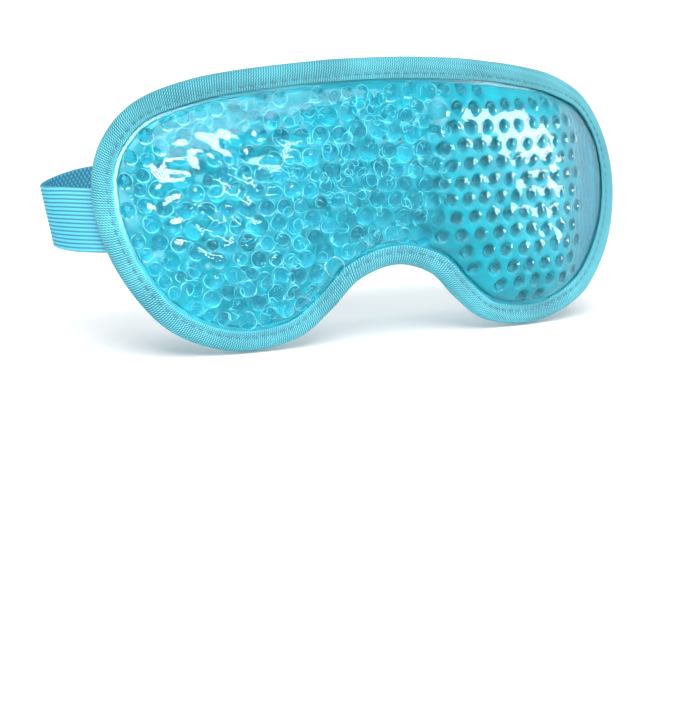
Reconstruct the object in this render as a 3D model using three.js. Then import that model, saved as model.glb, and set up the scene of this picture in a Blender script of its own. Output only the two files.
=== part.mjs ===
// Gel bead eye mask, in millimetres. +Z is up and the front faces -Y, as the mask is worn.
// The origin is the middle of the face side, where the mask rests on the bridge of the nose.
import * as THREE from 'three';
import { mergeVertices } from 'three/addons/utils/BufferGeometryUtils.js';

// Pad outline laid flat: the right half as [across, up], from beside the top middle to beside the notch.
const TOP_HEIGHT = 48.4;
const NOTCH_HEIGHT = -22.5;
const OUTLINE_HALF = [
  [24.9, 47.6], [47.9, 45.4], [71.8, 41.2], [91.8, 33], [102.6, 19.3], [104.9, 4.1], [99.3, -17.4],
  [83.4, -38.4], [60.7, -47.7], [37.8, -45.3], [24.8, -36.1], [14.4, -26.5],
];

// The pad wraps back round the face, more at its top edge than at its bottom edge.
const BEND = 0.00314;
const BEND_TAPER = 0.0157;

// Thicknesses, measured across the pad
const GAP = 0.3;
const FILL_GAP = 0.6;
const TAB_GAP = 1.5;
const FILM = 0.5;
const BACKING = 1.2;
const TAPE = 0.8;
const THREAD = 0.6;
const ELASTIC = 1.4;
const PATCH = 1.2;

// Rings of the pad's layers: how far each lies inside the outer edge, then the crown on either side of it.
const RIM_INSET = 1.4;
const RINGS = [
  { inset: RIM_INSET, front: 0, back: 0 },
  { inset: 8, front: 0, back: 0 },
  { inset: 10.5, front: 4.2, back: 0.6 },
  { inset: 15, front: 6.8, back: 1.4 },
  { inset: 15, toMiddle: 0.5, front: 8.6, back: 2.8 },
];
const MIDDLE = { height: 8, front: 9, back: 3 };
const SPINE_SHARE = 0.62;
const FILL_RING = 2;
const STEPS_AROUND = 54;

// Edge binding
const TAPE_REACH = 7;
const THREAD_INSET = 5.2;

// Elastic strap, cut through at each fold where its rear run starts to move
const STRAP_WIDTH = 21;
const STRAP_HEIGHT = -4.1;
const REAR_HEIGHT = 3;
const TAB_LENGTH = 9;
const TAB_MIDDLE = 99;
const FOLD_LEAN = 0.2;
const FOLD_SPREAD = 14;
const FOLD_GAP = 2;
const FOLD = { x: 112, y: 35.5 };
const STRAP_REAR = 52;
const OVERLAP = { left: 26, right: 24 };
const PATCH_SIZE = { length: 42, width: 17 };
const PATCH_MARGIN = 3;
const SEAM_SIZE = { length: 7, width: 15 };
const SEAM_MARGIN = 1.5;

// The outline as a smooth closed curve
function outlineCurve() {
  const right = OUTLINE_HALF.map(([x, z]) => new THREE.Vector3(x, 0, z));
  const left = OUTLINE_HALF.map(([x, z]) => new THREE.Vector3(-x, 0, z)).reverse();
  const top = new THREE.Vector3(0, 0, TOP_HEIGHT);
  const notch = new THREE.Vector3(0, 0, NOTCH_HEIGHT);
  const curve = new THREE.CatmullRomCurve3([top, ...right, notch, ...left], true, 'centripetal');
  curve.arcLengthDivisions = 1200;
  return curve;
}

// Point of the outline, moved inwards, still laid flat
function flatPoint(curve, turn, inset) {
  const point = curve.getPointAt(turn % 1);
  const along = curve.getTangentAt(turn % 1);
  return { across: point.x + along.z * inset, up: point.z - along.x * inset };
}

// From the flat pattern to the worn shape: across and up in the sheet, out from it towards the front
function worn(across, up, out) {
  const bend = BEND * (1 + BEND_TAPER * up);
  const angle = bend * across;
  const x = Math.sin(angle) * (1 / bend + out);
  const y = (1 - Math.cos(angle)) / bend - out * Math.cos(angle);
  return new THREE.Vector3(x, y, up);
}

// Layer surfaces, as heights out from the seam between the two films
const frontFilmInside = (ring) => GAP / 2 + ring.front;
const rearFilmInside = (ring) => -GAP / 2 - ring.back;
const rearFilmOutside = (ring) => rearFilmInside(ring) - FILM;
const backingInside = (ring) => rearFilmOutside(ring) - GAP;
const backingOutside = (ring) => backingInside(ring) - BACKING;
const FACE_SIDE = backingOutside(MIDDLE);
const TAPE_FRONT = GAP / 2 + FILM + GAP;
const TAPE_BACK = backingOutside(RINGS[0]) - GAP;
const TAB_BACK = TAPE_BACK - TAPE - TAB_GAP - ELASTIC / 2;

// Turns a stock geometry's vertices into one closed solid with its faces pointing out
function reshape(geometry, move) {
  const position = geometry.attributes.position;
  const uv = geometry.attributes.uv;
  for (let i = 0; i < position.count; i += 1) {
    const point = move(position.getX(i), position.getY(i), position.getZ(i), uv.getX(i), uv.getY(i));
    position.setXYZ(i, point.x, point.y, point.z);
  }
  geometry.deleteAttribute('normal');
  geometry.deleteAttribute('uv');
  const solid = mergeVertices(geometry, 1e-4);
  if (signedVolume(solid) < 0) solid.index.array.reverse();
  solid.computeVertexNormals();
  return solid;
}

function signedVolume(geometry) {
  const position = geometry.attributes.position;
  const corner = [new THREE.Vector3(), new THREE.Vector3(), new THREE.Vector3()];
  let volume = 0;
  for (let i = 0; i < geometry.index.count; i += 3) {
    corner.forEach((point, j) => point.fromBufferAttribute(position, geometry.index.getX(i + j)));
    volume += corner[0].dot(corner[1].cross(corner[2])) / 6;
  }
  return volume;
}

// One layer of the pad, from its rim ring to the middle: a squashed sphere whose equator is the rim
function padLayer(curve, firstRing, frontSurface, backSurface) {
  const levels = RINGS.length - firstRing;
  const rows = 2 * levels + 1;
  const sphere = new THREE.SphereGeometry(1, STEPS_AROUND, rows);
  return reshape(sphere, (x, y, z, u, v) => {
    const row = Math.round((1 - v) * rows);
    const isFront = row <= levels;
    const level = isFront ? row : rows - row;
    const surface = isFront ? frontSurface : backSurface;
    if (level === 0) return worn(0, MIDDLE.height, surface(MIDDLE));
    const ring = RINGS[RINGS.length - level];
    const flat = flatPoint(curve, u, ring.inset);
    if (ring.toMiddle) {
      flat.across *= SPINE_SHARE + (1 - SPINE_SHARE) * (1 - ring.toMiddle);
      flat.up += (MIDDLE.height - flat.up) * ring.toMiddle;
    }
    return worn(flat.across, flat.up, surface(ring));
  });
}

// A closed band that runs right round the pad, with its section given as [inset, out] corners
function rimBand(curve, section) {
  const torus = new THREE.TorusGeometry(2, 1, section.length, STEPS_AROUND);
  return reshape(torus, (x, y, z, u, v) => {
    const [inset, out] = section[Math.round(v * section.length) % section.length];
    const flat = flatPoint(curve, u, inset);
    return worn(flat.across, flat.up, out);
  });
}

// Folded tape: a U of even thickness over the rim of films and backing
function bindingSection() {
  const front = TAPE_FRONT + TAPE;
  const back = TAPE_BACK - TAPE;
  return [
    [TAPE_REACH, TAPE_FRONT], [TAPE_REACH, front], [1, front], [0, TAPE_FRONT - 0.2],
    [0, TAPE_BACK + 0.2], [1, back], [TAPE_REACH, back], [TAPE_REACH, TAPE_BACK],
    [TAPE, TAPE_BACK], [TAPE, TAPE_FRONT],
  ];
}

// Square thread section with its middle at an inset and a height out from the films' seam
function threadSection(inset, out) {
  const half = THREAD / 2;
  return [[inset - half, out], [inset, out + half], [inset + half, out], [inset, out - half]];
}

// Middle line of one strap half: its tab on the pad's back, the fold beside the pad, and the rear run,
// which ends past the middle of the mask. side is 1 for the left half and -1 for the right.
function strapCurve(side, rear, pastMiddle) {
  const start = worn(-95, STRAP_HEIGHT, TAB_BACK);
  const edge = worn(-103, STRAP_HEIGHT, TAB_BACK);
  const route = [
    start,
    edge,
    new THREE.Vector3(-107.5, 27, STRAP_HEIGHT),
    new THREE.Vector3(-FOLD.x, FOLD.y, STRAP_HEIGHT),
    new THREE.Vector3(-108, 44, STRAP_HEIGHT + 1),
    new THREE.Vector3(-97, rear - 3, STRAP_HEIGHT + 3.5),
    new THREE.Vector3(-75, rear - 1, REAR_HEIGHT - 2),
    new THREE.Vector3(-45, rear, REAR_HEIGHT),
    new THREE.Vector3(0, rear, REAR_HEIGHT),
    new THREE.Vector3(pastMiddle, rear, REAR_HEIGHT),
  ];
  const points = route.map((point) => new THREE.Vector3(point.x * side, point.y, point.z));
  const curve = new THREE.CatmullRomCurve3(points, false, 'centripetal');
  curve.arcLengthDivisions = 600;
  return curve;
}

// Distance along the strap to its fold
function foldDistance(curve, side) {
  const length = curve.getLength();
  const fold = new THREE.Vector2(-side * FOLD.x, FOLD.y);
  let best = 0;
  let nearest = Infinity;
  for (let along = 0; along < length / 2; along += 0.25) {
    const point = curve.getPointAt(along / length);
    const distance = fold.distanceTo(new THREE.Vector2(point.x, point.y));
    if (distance < nearest) {
      nearest = distance;
      best = along;
    }
  }
  return best;
}

// One strap half: its middle line and the places on its surface
class Strap {
  constructor(side, rear, pastMiddle) {
    this.side = side;
    this.curve = strapCurve(side, rear, pastMiddle);
    this.length = this.curve.getLength();
    this.fold = foldDistance(this.curve, side);
  }

  // Direction across the strap's width: flat on the pad's back, leaning out at the fold, then upright
  across(along) {
    const low = worn(-TAB_MIDDLE, STRAP_HEIGHT - STRAP_WIDTH / 2, TAB_BACK);
    const high = worn(-TAB_MIDDLE, STRAP_HEIGHT + STRAP_WIDTH / 2, TAB_BACK);
    const onPad = high.sub(low).divideScalar(STRAP_WIDTH);
    const lean = FOLD_LEAN * Math.exp(-(((along - this.fold) / FOLD_SPREAD) ** 2));
    const leaving = THREE.MathUtils.smoothstep(along, TAB_LENGTH, this.fold);
    const direction = onPad.lerp(new THREE.Vector3(-lean, 0, 1), leaving);
    direction.x *= this.side;
    return direction.normalize();
  }

  // Point at a distance along the strap, up across its width, and out from its middle surface
  at(along, up, out) {
    const share = THREE.MathUtils.clamp(along / this.length, 0, 1);
    const middle = this.curve.getPointAt(share);
    const forward = this.curve.getTangentAt(share);
    const across = this.across(along);
    const outward = new THREE.Vector3().crossVectors(forward, across).normalize();
    outward.multiplyScalar(this.side);
    return middle.addScaledVector(across, up).addScaledVector(outward, out);
  }

  // Flat band along part of the strap
  band(from, to, width, thickness, out, steps) {
    const box = new THREE.BoxGeometry(1, 1, 1, steps, 1, 1);
    return reshape(box, (x, y, z) => {
      const along = from + (x + 0.5) * (to - from);
      return this.at(along, y * width, out + z * thickness);
    });
  }

  // Loop of thread sewn round a rectangle on the strap
  threadLoop(middle, length, width, out) {
    const torus = new THREE.TorusGeometry(2, 1, 4, 24);
    const half = THREAD / 2;
    return reshape(torus, (x, y, z, u, v) => {
      const turn = 2 * Math.PI * (u % 1);
      const corner = Math.round(v * 4) % 4;
      const wider = [half, 0, -half, 0][corner];
      const raise = [0, half, 0, -half][corner];
      const reach = Math.max(Math.abs(Math.cos(turn)), Math.abs(Math.sin(turn)));
      const along = middle + (Math.cos(turn) / reach) * (length / 2 + wider);
      return this.at(along, (Math.sin(turn) / reach) * (width / 2 + wider), out + raise);
    });
  }
}

// Colours of the real materials
const finishes = {
  film: { color: 0xa8e4ee, roughness: 0.12, metalness: 0 },
  beads: { color: 0x21b4d2, roughness: 0.2, metalness: 0 },
  plush: { color: 0x57b6cf, roughness: 0.95, metalness: 0 },
  tape: { color: 0x5cc6da, roughness: 0.85, metalness: 0 },
  thread: { color: 0x3aa9c4, roughness: 0.7, metalness: 0 },
  elastic: { color: 0x55b9dd, roughness: 0.8, metalness: 0 },
  hook: { color: 0x4fb0cf, roughness: 0.75, metalness: 0 },
  loop: { color: 0x66bfd8, roughness: 0.95, metalness: 0 },
};

function piece(name, finish, geometry) {
  const mesh = new THREE.Mesh(geometry, new THREE.MeshStandardMaterial(finishes[finish]));
  mesh.name = name;
  return mesh;
}

// Film bag, its filling, the plush back and the bound edge
function padPieces() {
  const curve = outlineCurve();
  const frontFilmOutside = (ring) => frontFilmInside(ring) + FILM;
  const fillFront = (ring) => frontFilmInside(ring) - FILL_GAP;
  const fillBack = (ring) => rearFilmInside(ring) + FILL_GAP;
  const frontStitch = threadSection(THREAD_INSET, TAPE_FRONT + TAPE + GAP + THREAD / 2);
  const backStitch = threadSection(THREAD_INSET, TAPE_BACK - TAPE - GAP - THREAD / 2);
  return [
    piece('front_film', 'film', padLayer(curve, 0, frontFilmOutside, frontFilmInside)),
    piece('rear_film', 'film', padLayer(curve, 0, rearFilmInside, rearFilmOutside)),
    piece('gel_bead_fill', 'beads', padLayer(curve, FILL_RING, fillFront, fillBack)),
    piece('plush_backing', 'plush', padLayer(curve, 0, backingInside, backingOutside)),
    piece('edge_binding', 'tape', rimBand(curve, bindingSection())),
    piece('binding_front_thread', 'thread', rimBand(curve, frontStitch)),
    piece('binding_back_thread', 'thread', rimBand(curve, backStitch)),
  ];
}

// One strap half with its fixed base, its moving rear run, its fastening patch and its stitching.
// patchSide is 1 on the face that turns towards the head and -1 on the outer face.
function strapPieces(name, strap, patchName, finish, patchSide) {
  const surface = ELASTIC / 2;
  const patchOut = patchSide * (surface + GAP + PATCH / 2);
  const patchTo = strap.length - PATCH_MARGIN;
  const patchFrom = patchTo - PATCH_SIZE.length;
  const patchMiddle = (patchFrom + patchTo) / 2;
  const threadOut = surface + GAP + THREAD / 2;
  const seamMiddle = SEAM_MARGIN + SEAM_SIZE.length / 2;
  const sewnLength = PATCH_SIZE.length - 2 * SEAM_MARGIN;
  const sewnWidth = PATCH_SIZE.width - 2 * SEAM_MARGIN;
  const base = strap.band(0, strap.fold - FOLD_GAP / 2, STRAP_WIDTH, ELASTIC, 0, 10);
  const rearRun = strap.band(strap.fold + FOLD_GAP / 2, strap.length, STRAP_WIDTH, ELASTIC, 0, 26);
  const seam = strap.threadLoop(seamMiddle, SEAM_SIZE.length, SEAM_SIZE.width, threadOut);
  const patch = strap.band(patchFrom, patchTo, PATCH_SIZE.width, PATCH, patchOut, 6);
  const patchSeam = strap.threadLoop(patchMiddle, sewnLength, sewnWidth, -patchSide * threadOut);
  return [
    piece(`${name}_strap_base`, 'elastic', base),
    piece(`${name}_strap`, 'elastic', rearRun),
    piece(`${name}_strap_seam_thread`, 'thread', seam),
    piece(patchName, finish, patch),
    piece(`${patchName}_thread`, 'thread', patchSeam),
  ];
}

const mask = new THREE.Group();
mask.position.y = FACE_SIDE;
const fastenedStack = ELASTIC + 2 * PATCH + 3 * GAP;
const leftStrap = new Strap(1, STRAP_REAR, OVERLAP.left);
const rightStrap = new Strap(-1, STRAP_REAR - fastenedStack, OVERLAP.right);
mask.add(...padPieces());
mask.add(...strapPieces('left', leftStrap, 'hook_patch', 'hook', 1));
mask.add(...strapPieces('right', rightStrap, 'loop_patch', 'loop', -1));

export default mask;
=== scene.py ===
# Looks for the gel bead eye mask: beads, films, plush back, binding, straps, patches and stitches.
import math

import bmesh
import bpy
import numpy as np
from mathutils import Matrix, Vector


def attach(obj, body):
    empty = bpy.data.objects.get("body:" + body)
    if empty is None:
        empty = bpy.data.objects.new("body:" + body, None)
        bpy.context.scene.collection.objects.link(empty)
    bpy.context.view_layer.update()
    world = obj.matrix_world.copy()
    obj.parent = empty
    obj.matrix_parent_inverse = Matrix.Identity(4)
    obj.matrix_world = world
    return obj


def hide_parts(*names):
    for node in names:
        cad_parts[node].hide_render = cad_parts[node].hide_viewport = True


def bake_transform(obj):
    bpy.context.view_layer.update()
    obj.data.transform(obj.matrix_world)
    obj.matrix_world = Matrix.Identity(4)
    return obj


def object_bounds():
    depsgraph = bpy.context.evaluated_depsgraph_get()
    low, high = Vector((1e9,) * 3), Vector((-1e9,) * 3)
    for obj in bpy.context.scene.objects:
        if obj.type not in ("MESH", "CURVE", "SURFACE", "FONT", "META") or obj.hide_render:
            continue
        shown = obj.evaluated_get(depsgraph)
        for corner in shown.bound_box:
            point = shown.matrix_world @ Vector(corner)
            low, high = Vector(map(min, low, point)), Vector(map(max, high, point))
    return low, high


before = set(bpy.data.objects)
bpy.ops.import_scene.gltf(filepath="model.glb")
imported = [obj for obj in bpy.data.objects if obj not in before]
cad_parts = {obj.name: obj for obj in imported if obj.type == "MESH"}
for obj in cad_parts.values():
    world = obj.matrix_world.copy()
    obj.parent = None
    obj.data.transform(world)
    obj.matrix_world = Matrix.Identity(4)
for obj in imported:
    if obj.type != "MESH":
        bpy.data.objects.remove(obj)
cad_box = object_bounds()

MM = 0.001

# Pad outline laid flat, its bend and its layers, in mm, as part.mjs has them
TOP_HEIGHT = 48.4
NOTCH_HEIGHT = -22.5
OUTLINE_HALF = [
    (24.9, 47.6), (47.9, 45.4), (71.8, 41.2), (91.8, 33), (102.6, 19.3), (104.9, 4.1), (99.3, -17.4),
    (83.4, -38.4), (60.7, -47.7), (37.8, -45.3), (24.8, -36.1), (14.4, -26.5),
]
BEND = 0.00314
BEND_TAPER = 0.0157
GAP = 0.3
TAB_GAP = 1.5
FILM = 0.5
BACKING = 1.2
TAPE = 0.8
ELASTIC = 1.4
RIM_INSET = 1.4
TAPE_REACH = 7.0
THREAD_INSET = 5.2
CROWN_FRONT = 9.0
CROWN_BACK = 3.0
FACE_SIDE = -(GAP / 2 + CROWN_BACK + FILM + GAP + BACKING)
TAPE_FRONT = GAP / 2 + FILM + GAP
TAPE_BACK = -(GAP / 2 + FILM + GAP + BACKING + GAP)
TAB_BACK = TAPE_BACK - TAPE - TAB_GAP - ELASTIC / 2

# The pad's skins: the weld round the gel bag, the crown's width, and the rings that a skin is made of
SKIN = 0.4
WELD_INSET = 8.0
CROWN_WIDTH = 24.0
FIRST_RING = 0.6
RING_STEP = 0.8
LAST_INSET = 15.2
SPINE_HALF = 62.0
SPINE_HEIGHT = 7.0

# Binding tape: the radius of its fold, its weave and its stitches
TAPE_FOLD = 1.9
TWILL_PITCH = 0.8
TWILL_ANGLE = 10.0
CROSS_PITCH = 0.7
CROSS_ANGLE = 52.0
STITCH_PITCH = 3.6
STITCH_LENGTH = 2.7

# Elastic strap
STRAP_WIDTH = 21.0
STRAP_HEIGHT = -4.1
REAR_HEIGHT = 3.0
TAB_LENGTH = 9.0
TAB_MIDDLE = 99.0
FOLD_LEAN = 0.2
FOLD_SPREAD = 14.0
FOLD = (112, 35.5)
STRAP_REAR = 52.0
OVERLAP = {"left": 26.0, "right": 24.0}
FASTENED_STACK = 4.7
PATCH_LENGTH = 42.0
PATCH_WIDTH = 17.0
PATCH_MARGIN = 3.0
RIBS = 16
INNER_STEPS = 44
ROUTE_STEPS = 1200

# Gel beads
BEAD_RADIUS = 3.25
BEAD_PITCH = 6.5
ORDERED_PITCH = 7.2
ORDERED_FROM = 10.0
SPARSE_FROM = 77.0
EDGE_PITCH = 6.0
EDGE_ROW_ENDS = -62.0
LATTICE_HALF = (108.0, 50.0)
WINDOW_RADIUS = 2.0
FROTH = 420

# Camera: its direction from the mask in degrees, and its place in mm in its own axes
CAMERA_AZIMUTH = -26.91
CAMERA_ELEVATION = 13.4
CAMERA_ROLL = 0.62
CAMERA_BACK = 494.4
CAMERA_ASIDE = -18.6
CAMERA_UP = -52.0
CAMERA_LENS = 75.35


def smoothstep(value, low, high):
    """Rises smoothly from 0 at low to 1 at high."""
    t = np.clip((np.asarray(value, float) - low) / (high - low), 0, 1)
    return t * t * (3 - 2 * t)


# ---------------------------------------------------------------- curves and the pad's shape


def catmull_rom(points, closed, per_span=60):
    """Dense points of a centripetal Catmull-Rom curve, as three.js makes it."""
    points = np.asarray(points, float)
    count = len(points)
    if closed:
        padded = np.vstack([points[-1], points, points[:2]])
        spans = count
    else:
        first = 2 * points[0] - points[1]
        last = 2 * points[-1] - points[-2]
        padded = np.vstack([first, points, last])
        spans = count - 1
    dense = []
    for i in range(spans):
        p0, p1, p2, p3 = padded[i : i + 4]
        t1 = np.linalg.norm(p1 - p0) ** 0.5
        t2 = t1 + np.linalg.norm(p2 - p1) ** 0.5
        t3 = t2 + np.linalg.norm(p3 - p2) ** 0.5
        t = np.linspace(t1, t2, per_span, endpoint=False)[:, None]
        a1 = (t1 - t) / t1 * p0 + t / t1 * p1
        a2 = (t2 - t) / (t2 - t1) * p1 + (t - t1) / (t2 - t1) * p2
        a3 = (t3 - t) / (t3 - t2) * p2 + (t - t2) / (t3 - t2) * p3
        b1 = (t2 - t) / t2 * a1 + t / t2 * a2
        b2 = (t3 - t) / (t3 - t1) * a2 + (t - t1) / (t3 - t1) * a3
        dense.append((t2 - t) / (t2 - t1) * b1 + (t - t1) / (t2 - t1) * b2)
    if not closed:
        dense.append(points[-1:])
    return np.vstack(dense)


def along_curve(dense, closed, count):
    """count points and unit tangents, evenly spaced by length, and the curve's whole length."""
    ring = np.vstack([dense, dense[:1]]) if closed else dense
    length = np.concatenate([[0], np.cumsum(np.linalg.norm(np.diff(ring, axis=0), axis=1))])
    at = np.linspace(0, length[-1], count, endpoint=not closed)
    points = np.stack([np.interp(at, length, ring[:, k]) for k in range(ring.shape[1])], 1)
    step = 0.4
    wrap = (lambda s: s % length[-1]) if closed else (lambda s: np.clip(s, 0, length[-1]))
    ahead = np.stack([np.interp(wrap(at + step), length, ring[:, k]) for k in range(ring.shape[1])], 1)
    behind = np.stack([np.interp(wrap(at - step), length, ring[:, k]) for k in range(ring.shape[1])], 1)
    tangent = ahead - behind
    tangent /= np.linalg.norm(tangent, axis=1)[:, None]
    return points, tangent, length[-1]


def outline_points():
    """The outline's points, clockwise from the top middle."""
    right = list(OUTLINE_HALF)
    left = [(-x, z) for x, z in reversed(right)]
    return [(0, TOP_HEIGHT)] + right + [(0, NOTCH_HEIGHT)] + left


OUTLINE = catmull_rom(outline_points(), closed=True)


def outline_ring(count, inset):
    """Flat points of the outline moved inwards, clockwise from the top middle."""
    points, tangent, _ = along_curve(OUTLINE, True, count)
    inward = np.stack([tangent[:, 1], -tangent[:, 0]], 1)
    return points + inward * np.reshape(inset, (-1, 1))


EDGE_CHECK = outline_ring(900, 0.0)
PERIMETER = along_curve(OUTLINE, True, 8)[2]


def edge_distance(flat):
    """How far flat points lie inside the outline."""
    flat = np.asarray(flat, float).reshape(-1, 2)
    distance = np.empty(len(flat))
    for start in range(0, len(flat), 4000):
        part = flat[start : start + 4000]
        gap = part[:, None, :] - EDGE_CHECK[None, :, :]
        distance[start : start + 4000] = np.sqrt((gap**2).sum(2).min(1))
    return distance


def worn(across, up, out):
    """From the flat pattern to the worn shape, in metres in the row frame."""
    across, up, out = np.broadcast_arrays(*(np.asarray(v, float) for v in (across, up, out)))
    bend = BEND * (1 + BEND_TAPER * up)
    angle = bend * across
    x = np.sin(angle) * (1 / bend + out)
    y = (1 - np.cos(angle)) / bend - out * np.cos(angle) + FACE_SIDE
    return np.stack([x, y, up], -1) * MM


def crown_share(distance):
    """Height of the bag's crown at a distance inside the outline, from 0 at the weld to 1."""
    t = np.clip((distance - WELD_INSET) / CROWN_WIDTH, 0, 1)
    return np.sqrt(np.clip(1 - (1 - t) ** 2.2, 0, 1))


def back_share(distance):
    return smoothstep(distance, WELD_INSET, WELD_INSET + CROWN_WIDTH)


# ---------------------------------------------------------------- meshes


def mesh_piece(name, points, faces, material, uvs=None):
    """A smooth mesh object from points in metres. uvs gives one pair for each point."""
    mesh = bpy.data.meshes.new(name)
    mesh.from_pydata([tuple(p) for p in points], [], [tuple(f) for f in faces])
    mesh.validate()
    if uvs is not None:
        layer = mesh.uv_layers.new(name="UVMap")
        corner = np.empty(len(mesh.loops), np.int32)
        mesh.loops.foreach_get("vertex_index", corner)
        layer.data.foreach_set("uv", np.asarray(uvs, np.float32)[corner].ravel())
    obj = bpy.data.objects.new(name, mesh)
    bpy.context.scene.collection.objects.link(obj)
    mesh.materials.append(material)
    mesh.polygons.foreach_set("use_smooth", [True] * len(mesh.polygons))
    return obj


def outward(obj, weld=None):
    """Points every face outwards, after joining points closer than weld."""
    bm = bmesh.new()
    bm.from_mesh(obj.data)
    if weld:
        bmesh.ops.remove_doubles(bm, verts=bm.verts, dist=weld)
    bmesh.ops.recalc_face_normals(bm, faces=bm.faces)
    bm.to_mesh(obj.data)
    bm.free()
    return obj


def grid_faces(rows, columns, wrap_rows=False, wrap_columns=False):
    """Quads between neighbouring points of a grid stored row by row."""
    row = np.arange(rows if wrap_rows else rows - 1)
    column = np.arange(columns if wrap_columns else columns - 1)
    r, c = np.meshgrid(row, column, indexing="ij")
    r2, c2 = (r + 1) % rows, (c + 1) % columns
    quads = np.stack([r * columns + c, r * columns + c2, r2 * columns + c2, r2 * columns + c], -1)
    return quads.reshape(-1, 4)


def pad_rings(around, rim, middle_rows):
    """Flat rings from rim inwards: true insets near the edge, then shrinking to a line in the middle."""
    insets = np.concatenate([[rim], np.arange(rim + FIRST_RING, LAST_INSET, RING_STEP)])
    rings = [outline_ring(around, inset) for inset in insets]
    turn = 2 * np.pi * np.arange(around) / around
    spine = np.stack([SPINE_HALF * np.sin(turn), np.full(around, SPINE_HEIGHT)], 1)
    last = rings[-1]
    for share in np.linspace(0, 1, middle_rows + 1)[1:]:
        rings.append(last * (1 - share) + spine * share)
    return np.array(rings)


def pad_shell(name, around, middle_rows, rim, front_out, back_out, material):
    """A closed skin over the whole pad between two height functions of flat points and edge distance."""
    rings = pad_rings(around, rim, middle_rows)
    rows = len(rings)
    flat = rings.reshape(-1, 2)
    distance = edge_distance(flat)
    front = worn(flat[:, 0], flat[:, 1], front_out(flat, distance))
    back = worn(flat[:, 0], flat[:, 1], back_out(flat, distance))
    sheet = grid_faces(rows, around, wrap_columns=True)
    offset = rows * around
    rim_front = np.arange(around)
    rim_next = (rim_front + 1) % around
    wall = np.stack([rim_front, rim_next, rim_next + offset, rim_front + offset], 1)
    faces = np.vstack([sheet, sheet[:, ::-1] + offset, wall])
    obj = mesh_piece(name, np.vstack([front, back]), faces, material, np.vstack([flat, flat]) * MM)
    return outward(obj, weld=1e-6)


def rim_band(name, around, section, material, ripple=None):
    """A closed band right round the pad. section holds [inset, out] points; ripple lifts each of them."""
    section = np.asarray(section, float)
    points, tangent, _ = along_curve(OUTLINE, True, around)
    inward = np.stack([tangent[:, 1], -tangent[:, 0]], 1)
    normal = section_normals(section)
    length = np.linspace(0, PERIMETER, around, endpoint=False)
    reach = np.concatenate([[0], np.cumsum(np.linalg.norm(np.diff(section, axis=0), axis=1))])
    inset = np.broadcast_to(section[:, 0], (around, len(section))).copy()
    out = np.broadcast_to(section[:, 1], (around, len(section))).copy()
    if ripple is not None:
        lift = ripple(length[:, None], reach[None, :], section)
        inset += lift * normal[:, 0]
        out += lift * normal[:, 1]
    flat = points[:, None, :] + inward[:, None, :] * inset[..., None]
    place = worn(flat[..., 0], flat[..., 1], out).reshape(-1, 3)
    faces = grid_faces(around, len(section), wrap_rows=True, wrap_columns=True)
    u, v = np.meshgrid(length * MM, reach * MM, indexing="ij")
    obj = mesh_piece(name, place, faces, material, np.stack([u.ravel(), v.ravel()], 1))
    return outward(obj)


def section_normals(section):
    """Outward unit normals of a closed section that is listed clockwise or anticlockwise."""
    step = np.roll(section, -1, 0) - np.roll(section, 1, 0)
    step /= np.maximum(np.linalg.norm(step, axis=1)[:, None], 1e-9)
    normal = np.stack([step[:, 1], -step[:, 0]], 1)
    x, y = section[:, 0], section[:, 1]
    area = 0.5 * np.sum(x * np.roll(y, -1) - y * np.roll(x, -1))
    return normal if area > 0 else -normal


# ---------------------------------------------------------------- materials


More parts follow.
